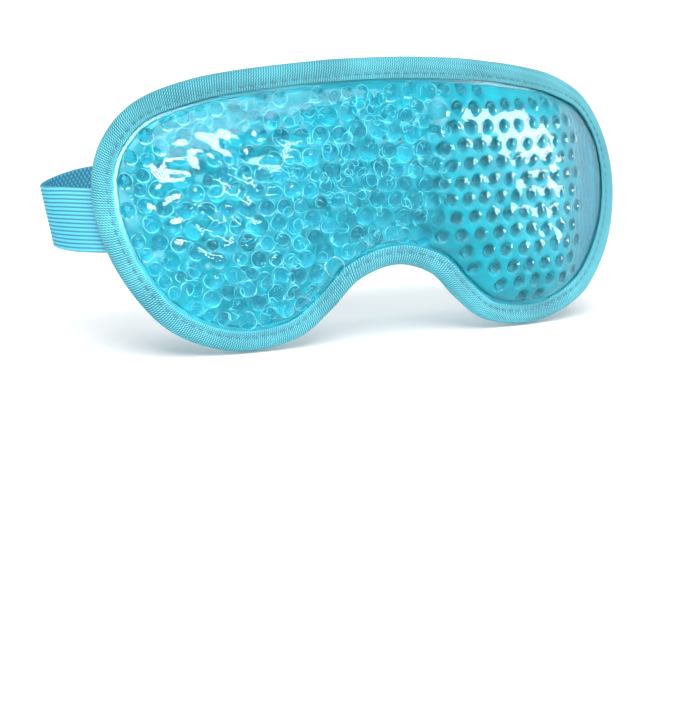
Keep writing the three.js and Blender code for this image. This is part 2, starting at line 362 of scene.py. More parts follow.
class Paint:
    """A material with a Principled shader and short calls for adding nodes."""

    def __init__(self, name, color, roughness, **inputs):
        self.material = bpy.data.materials.new(name)
        self.material.use_nodes = True
        self.tree = self.material.node_tree
        self.shader = self.tree.nodes["Principled BSDF"]
        self.set(self.shader, "Base Color", (*color, 1))
        self.set(self.shader, "Roughness", roughness)
        for key, value in inputs.items():
            self.set(self.shader, key.replace("_", " "), value)

    def set(self, node, socket, value):
        node.inputs[socket].default_value = value

    def link(self, source, node, socket):
        self.tree.links.new(source, node.inputs[socket])

    def node(self, kind, inputs=None, **settings):
        node = self.tree.nodes.new(kind)
        for key, value in settings.items():
            setattr(node, key, value)
        for key, value in (inputs or {}).items():
            if isinstance(value, bpy.types.NodeSocket):
                self.link(value, node, key)
            else:
                node.inputs[key].default_value = value
        return node

    def math(self, operation, a, b):
        node = self.node("ShaderNodeMath", operation=operation)
        for index, value in enumerate((a, b)):
            if isinstance(value, bpy.types.NodeSocket):
                self.tree.links.new(value, node.inputs[index])
            else:
                node.inputs[index].default_value = value
        return node.outputs[0]

    def object_point(self):
        return self.node("ShaderNodeTexCoord").outputs["Object"]

    def uv(self):
        return self.node("ShaderNodeTexCoord").outputs["UV"]

    def noise(self, scale, detail=3.0):
        node = self.node("ShaderNodeTexNoise", {"Scale": scale, "Detail": detail})
        self.link(self.object_point(), node, "Vector")
        return node.outputs["Fac"]

    def stripes(self, vector, pitch, angle):
        """Sine stripes from 0 to 1 across the first axis of vector, turned by an angle in degrees. At a
        scale of 1 the wave texture repeats every pi / 10."""
        mapping = self.node("ShaderNodeMapping")
        self.link(vector, mapping, "Vector")
        mapping.inputs["Rotation"].default_value = (0, 0, math.radians(angle))
        wave = self.node("ShaderNodeTexWave", {"Scale": math.pi / 10 / pitch})
        wave.bands_direction = "X"
        self.link(mapping.outputs[0], wave, "Vector")
        return wave.outputs["Fac"]

    def ramp(self, value, dark, light, low=0.0, high=1.0):
        """Colour from dark at low to light at high."""
        node = self.node("ShaderNodeValToRGB")
        node.color_ramp.elements[0].position = low
        node.color_ramp.elements[1].position = high
        node.color_ramp.elements[0].color = (*dark, 1)
        node.color_ramp.elements[1].color = (*light, 1)
        self.link(value, node, "Fac")
        return node.outputs["Color"]

    def tint(self, value, dark, light, low=0.0, high=1.0):
        self.link(self.ramp(value, dark, light, low, high), self.shader, "Base Color")
        return self

    def mixed(self, share, first, second):
        """A tint turned to a second one by the share."""
        mix = self.node("ShaderNodeMix", data_type="RGBA")
        self.link(share, mix, 0)
        self.link(first, mix, 6)
        mix.inputs[7].default_value = (*second, 1)
        return mix.outputs[2]

    def bare_end(self, tint):
        """A tint turned greyish blue towards the right end, where the bag is nearly empty."""
        across = self.node("ShaderNodeSeparateXYZ", {"Vector": self.object_point()}).outputs["X"]
        low, high = (SPARSE_FROM - 10) * MM, (SPARSE_FROM + 8) * MM
        bare = self.node("ShaderNodeMapRange", {"Value": across, "From Min": low, "From Max": high})
        return self.mixed(bare.outputs[0], tint, (0.018, 0.135, 0.19))

    def bump(self, value, distance, strength=1.0):
        node = self.node("ShaderNodeBump", {"Strength": strength, "Distance": distance, "Height": value})
        self.link(node.outputs[0], self.shader, "Normal")
        return self


def film_material():
    paint = Paint("clear_film", (0.94, 0.99, 1.0), 0.045, IOR=1.25, Transmission_Weight=1.0)
    return paint.material


def bead_material():
    """Clear tinted gel, deeper in colour where a bead is thicker, and paler at its lower side as a painted
    highlight where the light from above would gather.
    """
    paint = Paint("gel_beads", (0.3, 0.75, 0.8), 0.03, IOR=1.3, Transmission_Weight=1.0)
    island = paint.node("ShaderNodeNewGeometry").outputs["Random Per Island"]
    depth_and_painted_light = paint.node("ShaderNodeAttribute", attribute_name="depth_and_painted_light").outputs["Fac"]
    spread = paint.math("ADD", paint.math("MULTIPLY", island, 0.4), 0.7)
    depth = paint.math("MULTIPLY", paint.math("POWER", depth_and_painted_light, 1.4), spread)
    return paint.tint(depth, (0.55, 0.9, 0.92), (0.01, 0.47, 0.54)).material


def packed_gel_material():
    """Packed beads: mottled tint, with painted shade in each round window where a bead meets the film and
    shows its depth.
    """
    paint = Paint("gel_beads_packed", (0.03, 0.36, 0.46), 0.3, Specular_IOR_Level=0.1)
    mottled = paint.ramp(paint.noise(150, 3), (0.001, 0.12, 0.16), (0.004, 0.28, 0.35))
    depth_and_painted_light = paint.node("ShaderNodeAttribute", attribute_name="depth_and_painted_light").outputs["Fac"]
    # Painted shade: the gel is darkened in each window, where a bead presses it back from the film.
    window_shade = paint.mixed(depth_and_painted_light, paint.bare_end(mottled), (0.001, 0.13, 0.17))
    paint.link(window_shade, paint.shader, "Base Color")
    return paint.material


def rim_highlight_material():
    # Painted highlight: a light cyan that stands for the bright rims of the clear beads.
    return Paint("rim_highlights", (0.18, 0.66, 0.73), 0.3, Specular_IOR_Level=0.1).material


def rear_film_material():
    """Tinted back of the bag. It is greyer at the right end, where few beads lie over it."""
    paint = Paint("rear_film", (0.05, 0.55, 0.66), 0.18, IOR=1.45)
    mottled = paint.ramp(paint.noise(55, 3), (0.005, 0.2, 0.28), (0.015, 0.31, 0.4))
    paint.link(paint.bare_end(mottled), paint.shader, "Base Color")
    return paint.bump(paint.noise(420, 2), 0.0002, 0.5).material


def plush_material():
    paint = Paint("plush", (0.1, 0.5, 0.63), 0.95, Sheen_Weight=0.6, Sheen_Roughness=0.5)
    pile = paint.noise(900, 4)
    wide = paint.noise(60, 3)
    mixed = paint.math("MULTIPLY", paint.math("ADD", pile, wide), 0.5)
    paint.tint(mixed, (0.035, 0.36, 0.48), (0.2, 0.68, 0.78))
    return paint.bump(pile, 0.0006, 0.8).material


def tape_material():
    """Woven tape: ribs across the tape, crossed by a slanting twill, which makes fine dots."""
    paint = Paint("binding_tape", (0.1, 0.5, 0.6), 0.85, Sheen_Weight=0.2, Sheen_Roughness=0.4)
    ribs = paint.stripes(paint.uv(), TWILL_PITCH * MM, TWILL_ANGLE)
    cross = paint.stripes(paint.uv(), CROSS_PITCH * MM, CROSS_ANGLE)
    weave = paint.math("ADD", paint.math("MULTIPLY", ribs, 0.55), paint.math("MULTIPLY", cross, 0.45))
    patches = paint.math("MULTIPLY", paint.math("SUBTRACT", paint.noise(45), 0.5), 0.7)
    paint.tint(paint.math("ADD", weave, patches), (0.005, 0.14, 0.2), (0.12, 0.68, 0.8), 0.25, 0.75)
    return paint.bump(weave, 0.0002, 0.8).material


def thread_material():
    paint = Paint("thread", (0.05, 0.42, 0.54), 0.6, Sheen_Weight=0.2)
    twist = paint.stripes(paint.object_point(), 0.0004, 40)
    return paint.tint(twist, (0.015, 0.2, 0.29), (0.04, 0.33, 0.43)).material


def elastic_material():
    """Outer face of the elastic: light ribs along it with painted shade in the grooves between them."""
    paint = Paint("ribbed_elastic", (0.12, 0.62, 0.8), 0.6, Sheen_Weight=0.15, Sheen_Roughness=0.4)
    ribs = paint.stripes(paint.uv(), STRAP_WIDTH / RIBS * MM, 90)
    weft = paint.stripes(paint.uv(), 0.0006, 0)
    shade = paint.math("ADD", paint.math("POWER", ribs, 0.55), paint.math("MULTIPLY", weft, 0.08))
    # Painted shade: the grooves between the ribs are darker.
    paint.tint(shade, (0.015, 0.25, 0.4), (0.1, 0.66, 0.87))
    return paint.bump(weft, 0.0001, 0.5).material


def elastic_inside_material():
    """Inner face of the elastic: a fine slanting mesh."""
    paint = Paint("elastic_inner_face", (0.08, 0.5, 0.7), 0.7)
    one = paint.stripes(paint.uv(), 0.0013, 32)
    other = paint.stripes(paint.uv(), 0.0013, -32)
    mesh = paint.math("MULTIPLY", one, other)
    paint.tint(paint.math("POWER", mesh, 0.6), (0.01, 0.22, 0.39), (0.1, 0.6, 0.8))
    return paint.bump(mesh, 0.0002, 0.7).material


def patch_material(name, dark, light, roughness):
    paint = Paint(name, light, roughness, Sheen_Weight=0.3)
    fibre = paint.noise(1100, 4)
    paint.tint(fibre, dark, light)
    return paint.bump(fibre, 0.0004, 0.7).material


thread = thread_material()
elastic = elastic_material()
elastic_inside = elastic_inside_material()


# ---------------------------------------------------------------- gel beads


def lattice(pitch, shift, low, high):
    """Flat points of a close-packed lattice over the pad between two distances across."""
    half_across, half_up = LATTICE_HALF
    rows = []
    for row, z in enumerate(np.arange(-half_up, half_up, pitch * math.sqrt(3) / 2)):
        start = shift - half_across + (pitch / 2 if row % 2 else 0)
        rows += [(x, z) for x in np.arange(start, half_across, pitch) if low <= x < high]
    return np.array(rows)


def settle(points, disorder, size, margin, seed, fixed=0):
    """Shakes lattice points by their disorder, then lets beads of these sizes push apart inside the weld."""
    draw = np.random.default_rng(seed)
    points = points + draw.normal(0, 1, points.shape) * disorder[:, None]
    inside = flat_inside(points) & (edge_distance(points) > margin - 1)
    points, size = points[inside], size[inside]
    apart = (size[:, None] + size[None, :]) / 2
    for _ in range(60):
        gap = points[:, None, :] - points[None, :, :]
        between = np.sqrt((gap**2).sum(2)) + np.eye(len(points)) * 1e6 + 1e-6
        push = np.clip(apart - between, 0, None) / between / 2
        moved = points + (gap * push[..., None]).sum(1) * 0.6
        moved[:fixed] = points[:fixed]
        points = keep_inside(moved, margin)
    return points, size


def flat_inside(points):
    """True for flat points inside the outline, by counting crossings."""
    a = EDGE_CHECK
    b = np.roll(EDGE_CHECK, -1, 0)
    x, z = points[:, 0][:, None], points[:, 1][:, None]
    straddles = (a[:, 1] > z) != (b[:, 1] > z)
    slope = (b[:, 0] - a[:, 0]) / np.where(b[:, 1] == a[:, 1], 1e-9, b[:, 1] - a[:, 1])
    crossing = a[:, 0] + (z - a[:, 1]) * slope
    return (straddles & (x < crossing)).sum(1) % 2 == 1


def keep_inside(points, margin):
    """Moves points nearer the edge than margin back to it."""
    ring = outline_ring(900, margin)
    near = (edge_distance(points) < margin) | ~flat_inside(points)
    for index in np.nonzero(near)[0]:
        nearest = ((ring - points[index]) ** 2).sum(1).argmin()
        points[index] = ring[nearest]
    return points


def edge_row():
    """Smaller beads in a row along the weld at the left end."""
    ring = outline_ring(int(PERIMETER / EDGE_PITCH), WELD_INSET + 2.8)
    return ring[ring[:, 0] < EDGE_ROW_ENDS]


def front_centres():
    """Centres of the front beads: an edge row, loose beads, then even rows on the right."""
    row = edge_row()
    loose = lattice(BEAD_PITCH, 1.5, -LATTICE_HALF[0], ORDERED_FROM)
    ordered = lattice(ORDERED_PITCH, 1.0, ORDERED_FROM, SPARSE_FROM)
    points = np.vstack([row, loose, ordered])
    counts = [len(row), len(loose), len(ordered)]
    disorder = np.repeat([0.0, 1.5, 0.2], counts)
    size = np.repeat([EDGE_PITCH, BEAD_PITCH, 2.1 * BEAD_RADIUS], counts)
    size *= 1 + np.repeat([0.03, 0.13, 0.03], counts) * np.random.default_rng(3).normal(0, 1, len(size))
    return thin_out(*settle(points, disorder, np.clip(size, 4.4, 8.6), WELD_INSET + 2.8, 11, len(row)))


def rear_centres():
    """Centres of the beads behind the front ones."""
    points = lattice(BEAD_PITCH * 1.03, 4.2, -LATTICE_HALF[0], LATTICE_HALF[0])
    size = np.full(len(points), BEAD_PITCH)
    return thin_out(*settle(points, size * 0.22, size, WELD_INSET + 2, 23))[0]


def thin_out(points, size):
    """Leaves out beads that still crowd an earlier one, and trims the rest to touch at most."""
    kept = []
    for i, point in enumerate(points):
        if all(np.hypot(*(point - points[j])) > 0.4 * (size[i] + size[j]) for j in kept):
            kept.append(i)
    points, size = points[kept], size[kept]
    between = np.sqrt(((points[:, None, :] - points[None, :, :]) ** 2).sum(2)) + np.eye(len(points)) * 1e6
    crowding = (between / ((size[:, None] + size[None, :]) / 2)).min(1)
    return points, size * np.minimum(crowding, 1)


def unit_ball(subdivisions):
    bm = bmesh.new()
    bmesh.ops.create_icosphere(bm, subdivisions=subdivisions, radius=1)
    points = np.array([v.co[:] for v in bm.verts])
    faces = np.array([[v.index for v in f.verts] for f in bm.faces])
    bm.free()
    return points, faces


def bead_cluster(name, centres, outs, radii, depths, material, seed):
    """Separate soft beads in one piece, each squeezed to its depth and gently lumpy. A bead gathers the
    light from above at its lower side, which is painted paler there as a painted highlight."""
    draw = np.random.default_rng(seed)
    unit, unit_faces = unit_ball(3)
    points, faces = [], []
    for i, (centre, out, radius, depth) in enumerate(zip(centres, outs, radii, depths)):
        lump = 1 + 0.03 * np.sin(unit @ draw.normal(0, 2.2, (3, 3)) + draw.uniform(0, 6, 3)).sum(1) / 1.7
        ball_points = unit * lump[:, None]
        across = centre[0] + ball_points[:, 0] * radius
        up = centre[1] + ball_points[:, 2] * radius
        points.append(worn(across, up, out - ball_points[:, 1] * depth))
        faces.append(unit_faces + i * len(unit))
    piece = mesh_piece(name, np.vstack(points), np.vstack(faces), material)
    # Painted highlight: each bead's lower side is lightened, as if it gathered the light from above.
    painted_gathered_light = smoothstep(unit @ np.array([0.45, 0.2, -0.87]), 0.62, 0.92)
    depth_and_painted_light = np.sqrt(np.clip(1 - unit[:, 0] ** 2 - unit[:, 2] ** 2, 0, 1)) * (1 - painted_gathered_light)
    store_depth_and_light(piece, np.tile(depth_and_painted_light, len(centres)))
    return outward(piece)


def store_depth_and_light(piece, values):
    """Keeps a value from 0 to 1 at each point, which the gel's materials read for their depth of colour and
    their painted light and shade.
    """
    layer = piece.data.attributes.new("depth_and_painted_light", "FLOAT", "POINT")
    layer.data.foreach_set("value", values.astype(np.float32))


def bag_front(flat, distance):
    """Front surface of the gel bag, lower at the sparse right end."""
    slack = 1 - 0.6 * smoothstep(flat[:, 0], SPARSE_FROM - 14, SPARSE_FROM + 12)
    return GAP / 2 + CROWN_FRONT * crown_share(distance) * slack


def bag_back(distance):
    return -(GAP / 2 + CROWN_BACK * back_share(distance))


def bead_heights(centres, radii):
    """Middle height and half depth of each front bead, just under the front film."""
    distance = edge_distance(centres)
    front = bag_front(centres, distance) - 0.15
    depth = np.minimum(radii, (front - bag_back(distance) - 0.2) / 2)
    return front - depth, depth


def nearest_dome(flat, centres, reach, power):
    """Domes over centres, 1 in the middle of each and 0 at its reach."""
    lift = np.zeros(len(flat))
    for start in range(0, len(flat), 4000):
        part = flat[start : start + 4000]
        gap = ((part[:, None, :] - centres[None, :, :]) ** 2).sum(2).min(1)
        lift[start : start + 4000] = np.clip(1 - gap / reach**2, 0, 1) ** power
    return lift


def make_beads():
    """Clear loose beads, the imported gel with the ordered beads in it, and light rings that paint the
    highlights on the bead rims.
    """
    front, sizes = front_centres()
    pressed = front[:, 0] > ORDERED_FROM + 3
    radii = np.where(pressed, WINDOW_RADIUS, sizes / 2 * 0.99)
    outs, depth = bead_heights(front, radii)
    windows = front[pressed]
    left_half = front[:, 0] < np.median(front[:, 0])
    clear = bead_material()
    pieces = []
    for name, chosen in (("gel_beads_left", left_half), ("gel_beads_right", ~left_half)):
        piece = bead_cluster(name, front[chosen], outs[chosen], radii[chosen], depth[chosen], clear, 3)
        piece.visible_shadow = False
        pieces.append(piece)
    pieces.append(make_packed_gel(windows))
    pieces.append(make_rim_highlights(front, outs, radii, depth))
    for piece in pieces:
        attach(piece, "pad")
    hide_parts("gel_bead_fill")
    return front


def make_packed_gel(windows):
    """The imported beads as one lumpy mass: deep behind the loose beads, and up under the film on the right,
    where each ordered bead presses a round window against the film."""
    deep = rear_centres()

    def front_out(flat, distance):
        room = bag_front(flat, distance) - bag_back(distance)
        lump = nearest_dome(flat, deep, BEAD_RADIUS * 1.15, 0.5)
        rise = np.clip(room - 2 * BEAD_RADIUS, 0, None) + 0.35
        low = rise * (0.72 + 0.28 * lump) + 0.35 * lump * smoothstep(room, 1, 4)
        pit = nearest_dome(flat, windows, WINDOW_RADIUS * 1.15, 0.5)
        high = np.clip(room - 1.1 - pit * 3.2, 0.3, None)
        share = smoothstep(flat[:, 0], ORDERED_FROM - 3, ORDERED_FROM + 8)
        return bag_back(distance) + low * (1 - share) + high * share

    def back_out(flat, distance):
        return bag_back(distance) + 0.1

    material = packed_gel_material()
    piece = pad_shell("gel_beads_packed", 780, 44, WELD_INSET + 0.4, front_out, back_out, material)
    flat = np.array([loop.uv[:] for loop in piece.data.uv_layers[0].data]) / MM
    corner = np.empty(len(piece.data.loops), np.int32)
    piece.data.loops.foreach_get("vertex_index", corner)
    depth = np.zeros(len(piece.data.vertices))
    # Each window's share, which the gel's material turns into painted shade.
    depth[corner] = nearest_dome(flat, windows, WINDOW_RADIUS * 1.1, 0.3)
    store_depth_and_light(piece, depth)
    return piece


def ring_mesh(name, centres, outs, radii, girths, tilts, material, seed):
    """Thin rings of liquid of uneven girth, each lying in the pad's surface at its out height."""
    draw = np.random.default_rng(seed)
    steps, sides = 30, 5
    around = np.linspace(0, 2 * np.pi, steps, endpoint=False)
    turn = np.linspace(0, 2 * np.pi, sides, endpoint=False)
    points, faces = [], []
    for i, (centre, out, radius, girth, tilt) in enumerate(zip(centres, outs, radii, girths, tilts)):
        swell = np.clip(0.45 + 0.6 * np.sin(around * draw.integers(1, 4) + draw.uniform(0, 6)), 0, 1)
        wobble = 1 + 0.05 * np.sin(around * 3 + draw.uniform(0, 6))
        thick = girth * (0.08 + swell)[:, None]
        reach = radius * wobble[:, None] + thick * np.cos(turn)
        height = out + thick * np.sin(turn) + tilt * np.sin(around + draw.uniform(0, 6))[:, None]
        across = centre[0] + reach * np.cos(around)[:, None]
        up = centre[1] + reach * np.sin(around)[:, None]
        points.append(worn(across, up, height).reshape(-1, 3))
        faces.append(grid_faces(steps, sides, True, True) + i * steps * sides)
    return outward(mesh_piece(name, np.vstack(points), np.vstack(faces), material))


def make_rim_highlights(centres, outs, radii, depths):
    """Liquid rings round the front beads, and froth between the loose ones, all coloured light as painted
    highlights on the rims.
    """
    draw = np.random.default_rng(41)
    rim_radii = radii * 0.9
    rim_outs = outs + depths * 0.42
    loose = centres[:, 0] < ORDERED_FROM
    girths = np.where(loose, draw.uniform(0.03, 0.1, len(centres)), 0.04)
    froth_x = draw.normal(-25, 34, FROTH)
    froth = np.stack([froth_x, draw.uniform(-40, 44, FROTH)], 1)
    froth = froth[(froth_x < ORDERED_FROM + 6) & flat_inside(froth)]
    froth = froth[edge_distance(froth) > WELD_INSET + 3]
    count = len(froth)
    froth_outs = bag_front(froth, edge_distance(froth)) - draw.uniform(0.6, 3.0, count)
    return ring_mesh(
        "gel_rim_highlights",
        np.vstack([centres, froth]),
        np.concatenate([rim_outs, froth_outs]),
        np.concatenate([rim_radii, draw.uniform(0.5, 2.2, count)]),
        np.concatenate([girths, draw.uniform(0.04, 0.1, count)]),
        np.concatenate([np.zeros(len(centres)), draw.uniform(0, 0.5, count)]),
        rim_highlight_material(),
        43,
    )


FRONT_BEADS = make_beads()


# ---------------------------------------------------------------- films and plush


def film_creases(flat):
    """Slow waves in the film, as slack film has, deeper at the left and finer at the sparse end."""
    x, z = flat[:, 0], flat[:, 1]
    wide = np.sin(0.21 * x + 0.35 * z + 1.2) * np.sin(0.13 * x - 0.28 * z)
    streaks = np.sin(0.9 * z + 0.25 * x + 1.5 * np.sin(0.2 * x)) * np.sin(0.31 * x + 0.8)
    fine = np.sin(1.3 * x + 0.7 * z + 2 * np.sin(0.5 * z)) * np.sin(1.1 * z - 0.6 * x)
    pulled = 0.03 + 0.14 * smoothstep(-x, 35, 60) * smoothstep(-z, -34, -12) + 0.05 * smoothstep(x, 20, 40)
    return 0.1 * wide + pulled * streaks + 0.12 * fine * smoothstep(x, SPARSE_FROM - 6, SPARSE_FROM + 4)


def front_film_outside(flat, distance):
    """The film over the crown, with a weld bead round it, creases, and a dome over each bead."""
    inside = smoothstep(distance, WELD_INSET + 1, WELD_INSET + 4)
    weld = 0.22 * np.exp(-(((distance - WELD_INSET - 0.2) / 0.35) ** 2))
    press = 0.14 + 0.46 * smoothstep(flat[:, 0], ORDERED_FROM - 6, ORDERED_FROM + 8)
    domes = nearest_dome(flat, FRONT_BEADS, WINDOW_RADIUS + 0.3, 1.5) * press * inside
    return bag_front(flat, distance) + domes + weld + film_creases(flat) * inside + SKIN


def front_film_inside(flat, distance):
    return front_film_outside(flat, distance) - SKIN


def rear_film_inside(flat, distance):
    return bag_back(distance)


def rear_film_outside(flat, distance):
    return bag_back(distance) - SKIN


def plush_inside(flat, distance):
    return rear_film_inside(flat, distance) - FILM - GAP


def plush_outside(flat, distance):
    x, z = flat[:, 0], flat[:, 1]
    tufts = np.sin(1.9 * x + 0.9 * np.sin(1.3 * z)) * np.sin(2.1 * z + 1.1 * np.sin(0.9 * x))
    return plush_inside(flat, distance) - BACKING + 0.06 * tufts


def make_pad_skins():
    """Front film, rear film and plush back: name, node, slot, rings round and inwards, heights, material."""
    film, rear, plush = film_material(), rear_film_material(), plush_material()
    skins = [
        ("clear_front_film", "front_film", "front_film", 780, 44,
         front_film_outside, front_film_inside, film),
        ("rear_film_skin", "rear_film", "rear_film", 360, 24, rear_film_inside, rear_film_outside, rear),
        ("plush_back", "plush_backing", "plush", 640, 46, plush_inside, plush_outside, plush),
    ]
    pieces = []
    for name, node, slot, around, inwards, front_out, back_out, material in skins:
        piece = pad_shell(name, around, inwards, RIM_INSET, front_out, back_out, material)
        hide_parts(node)
        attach(piece, "pad")
        flat_area(RIM_INSET)
        pieces.append(piece)
    pieces[0].visible_shadow = False


def flat_area(inset):
    """Area inside the outline moved inwards, in square metres."""
    ring = outline_ring(720, inset) * MM
    x, z = ring[:, 0], ring[:, 1]
    return abs(0.5 * np.sum(x * np.roll(z, -1) - z * np.roll(x, -1)))


make_pad_skins()


# ---------------------------------------------------------------- binding


def binding_section():
    """Folded tape: round outer bend, two legs, and the seam's dip in each leg."""
    front, back = TAPE_FRONT + TAPE, TAPE_BACK - TAPE
    middle, half = (front + back) / 2, (front - back) / 2
    legs = np.linspace(TAPE_REACH - 0.25, TAPE_FOLD, 8)
    bend = np.radians(np.linspace(90, 270, 9))[1:-1]
    outer = [(TAPE_REACH, TAPE_FRONT), (TAPE_REACH, front - 0.25)] + [(x, front) for x in legs]
    outer += [(TAPE_FOLD + TAPE_FOLD * math.cos(a), middle + half * math.sin(a)) for a in bend]
    outer += [(x, back) for x in legs[::-1]] + [(TAPE_REACH, back + 0.25), (TAPE_REACH, TAPE_BACK)]
    return outer + [(3.0, TAPE_BACK), (1.0, TAPE_BACK + 0.4), (1.0, TAPE_FRONT - 0.4), (3.0, TAPE_FRONT)]


def tape_ripple(length, reach, section):
    """Twill ribs over the whole tape, the pull of the seam and slow unevenness along the edge."""
    inset = section[:, 0][None, :]
    out = section[:, 1][None, :]
    shown = (out >= TAPE_FRONT + TAPE - 0.3) | (out <= TAPE_BACK - TAPE + 0.3) | (inset < 0.9)
    slant = length + reach * math.tan(math.radians(TWILL_ANGLE))
    ribs = 0.05 * np.sin(2 * np.pi * slant / TWILL_PITCH)
    arch = 0.28 * np.exp(-(((inset - 3.0) / 1.6) ** 2))
    arch = arch - 0.22 * np.exp(-(((inset - THREAD_INSET) / 0.7) ** 2))
    pucker = 0.07 * np.sin(2 * np.pi * length / STITCH_PITCH) * np.exp(-(((inset - THREAD_INSET) / 1.4) ** 2))
    slow = 0.06 * np.sin(length / 9.0) + 0.05 * np.sin(length / 4.1 + 2)
    return np.where(shown, ribs + arch + pucker + slow, 0)


def make_binding():
    piece = rim_band("binding_tape_edge", 2800, binding_section(), tape_material(), tape_ripple)
    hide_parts("edge_binding")
    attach(piece, "pad")


make_binding()


# ---------------------------------------------------------------- straps


class Strap:
    """One strap half. side is 1 for the left half and -1 for the right, as in part.mjs."""

    def __init__(self, side, rear, past_middle):
        self.side = side
        start = worn(-95, STRAP_HEIGHT, TAB_BACK) / MM
        edge = worn(-103, STRAP_HEIGHT, TAB_BACK) / MM
        route = [
            (-107.5, 27, STRAP_HEIGHT),
            (-FOLD[0], FOLD[1], STRAP_HEIGHT),
            (-108, 44, STRAP_HEIGHT + 1),
            (-97, rear - 3, STRAP_HEIGHT + 3.5),
            (-75, rear - 1, REAR_HEIGHT - 2),
            (-45, rear, REAR_HEIGHT),
            (0, rear, REAR_HEIGHT),
            (past_middle, rear, REAR_HEIGHT),
        ]
        lowered = [(x, y + FACE_SIDE, z) for x, y, z in route]
        points = np.vstack([start, edge, lowered])
        dense = catmull_rom(points, False)
        self.points, self.tangents, self.length = along_curve(dense, False, ROUTE_STEPS)
        fold = np.array([-FOLD[0], FOLD[1] + FACE_SIDE])
        half = len(self.points) // 2
        nearest = np.linalg.norm(self.points[:half, :2] - fold, axis=1).argmin()
        self.fold = nearest * self.length / (ROUTE_STEPS - 1)

    def place(self, along, up, out):
        """Points in metres at distances along the strap, up its width and out from its middle."""
        along, up, out = np.broadcast_arrays(*(np.asarray(v, float) for v in (along, up, out)))
        steps = np.arange(ROUTE_STEPS)
        share = np.clip(along / self.length, 0, 1) * steps[-1]
        middle = np.stack([np.interp(share, steps, self.points[:, k]) for k in range(3)], -1)
        forward = np.stack([np.interp(share, steps, self.tangents[:, k]) for k in range(3)], -1)
        low = worn(-TAB_MIDDLE, STRAP_HEIGHT - STRAP_WIDTH / 2, TAB_BACK)
        high = worn(-TAB_MIDDLE, STRAP_HEIGHT + STRAP_WIDTH / 2, TAB_BACK)
        on_pad = (high - low) / MM / STRAP_WIDTH
        lean = FOLD_LEAN * np.exp(-(((along - self.fold) / FOLD_SPREAD) ** 2))
        leaving = smoothstep(along, TAB_LENGTH, self.fold)[..., None]
        leaning = np.stack([-lean, np.zeros_like(lean), np.ones_like(lean)], -1)
        across = on_pad * (1 - leaving) + leaning * leaving
        across /= np.linalg.norm(across, axis=-1)[..., None]
        outward_way = np.cross(forward, across)
        outward_way /= np.linalg.norm(outward_way, axis=-1)[..., None]
        place = middle + across * up[..., None] + outward_way * out[..., None]
        return place * (self.side, 1, 1) * MM


def strap_section():
    """Across the strap: rounded ribs on the outer face, then the flatter inner face. Pairs of [up, out]."""
    per_rib = 7
    half = STRAP_WIDTH / 2
    up = np.linspace(-half, half, RIBS * per_rib + 1)
    phase = np.abs(np.sin(np.pi * (up + half) / (STRAP_WIDTH / RIBS)))
    ribbed = [(u, -0.3 - 0.45 * p**0.6) for u, p in zip(up, phase)]
    plain = [(u, 0.5) for u in np.linspace(half, -half, INNER_STEPS)]
    return np.array(ribbed + plain)


def make_strap(name, strap, node_names):
    """One strap half from its seam to its end, ribbed outside and woven as a fine mesh inside."""
    section = strap_section()
    along = np.arange(0, strap.length, 0.5)
    along = np.append(along, strap.length)
    a, u = np.meshgrid(along, section[:, 0], indexing="ij")
    out = np.broadcast_to(section[:, 1], a.shape)
    points = strap.place(a, u, out).reshape(-1, 3)
    faces = [tuple(f) for f in grid_faces(len(along), len(section), wrap_columns=True)]
    count = len(section)
    faces.append(tuple(range(count)))
    faces.append(tuple(range(len(points) - count, len(points)))[::-1])
    uvs = np.stack([a.ravel() * MM, u.ravel() * MM], 1)
    piece = outward(mesh_piece(name, points, faces, elastic, uvs))
    piece.data.materials.append(elastic_inside)
    inner = count - INNER_STEPS
    for polygon in piece.data.polygons:
        if all(v % count >= inner for v in polygon.vertices):
            polygon.material_index = 1
    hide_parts(*node_names)
    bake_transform(piece)


left = Strap(1, STRAP_REAR, OVERLAP["left"])
right = Strap(-1, STRAP_REAR - FASTENED_STACK, OVERLAP["right"])
make_strap("left_strap_elastic", left, ["left_strap_base", "left_strap"])
make_strap("right_strap_elastic", right, ["right_strap_base", "right_strap"])


# ---------------------------------------------------------------- stitches


def stitch_mesh(name, starts, ends, lifts, material, radius=0.26):
    """Separate stitches: each a short bent thread that dips into the cloth at its ends. In mm."""
    steps, sides = 9, 8
    points, faces = [], []
    share = np.linspace(0, 1, steps)
    height = np.sin(np.pi * share) ** 0.6
    girth = np.sqrt(np.clip(1 - (2 * share - 1) ** 6, 0.02, 1))
    turn = np.linspace(0, 2 * np.pi, sides, endpoint=False)
    for i, (start, end, lift) in enumerate(zip(starts, ends, lifts)):
        along = end - start
        along_unit = along / np.linalg.norm(along)
        lift_unit = lift / np.linalg.norm(lift)
        side = np.cross(along_unit, lift_unit)
        middle = start + along * share[:, None] + lift * (height[:, None] * 0.75 - 0.45)
        ring = side * np.cos(turn)[:, None] + lift_unit * np.sin(turn)[:, None]
        body = middle[:, None, :] + ring[None, :, :] * (radius * girth)[:, None, None]
        points.append(body.reshape(-1, 3))
        base = i * steps * sides
        faces += [tuple(f + base) for f in grid_faces(steps, sides, wrap_columns=True)]
        faces.append(tuple(range(base, base + sides)))
        faces.append(tuple(range(base + (steps - 1) * sides, base + steps * sides))[::-1])
    obj = mesh_piece(name, np.vstack(points) * MM, faces, material)
    return outward(obj)


def rim_stitches(name, node, surface, way):
    """Stitches right round the binding, on its front (way 1) or its back (way -1)."""
    count = int(PERIMETER / STITCH_PITCH)
    fine = 20
    ring = outline_ring(count * fine, THREAD_INSET)
    first = np.arange(count) * fine
    last = first + int(fine * STITCH_LENGTH / STITCH_PITCH)
    start = worn(ring[first, 0], ring[first, 1], surface) / MM
    end = worn(ring[last, 0], ring[last, 1], surface) / MM
    lifted = worn(ring[first, 0], ring[first, 1], surface + way * 0.5) / MM
    piece = stitch_mesh(name, start, end, lifted - start, thread)
    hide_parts(node)
    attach(piece, "pad")


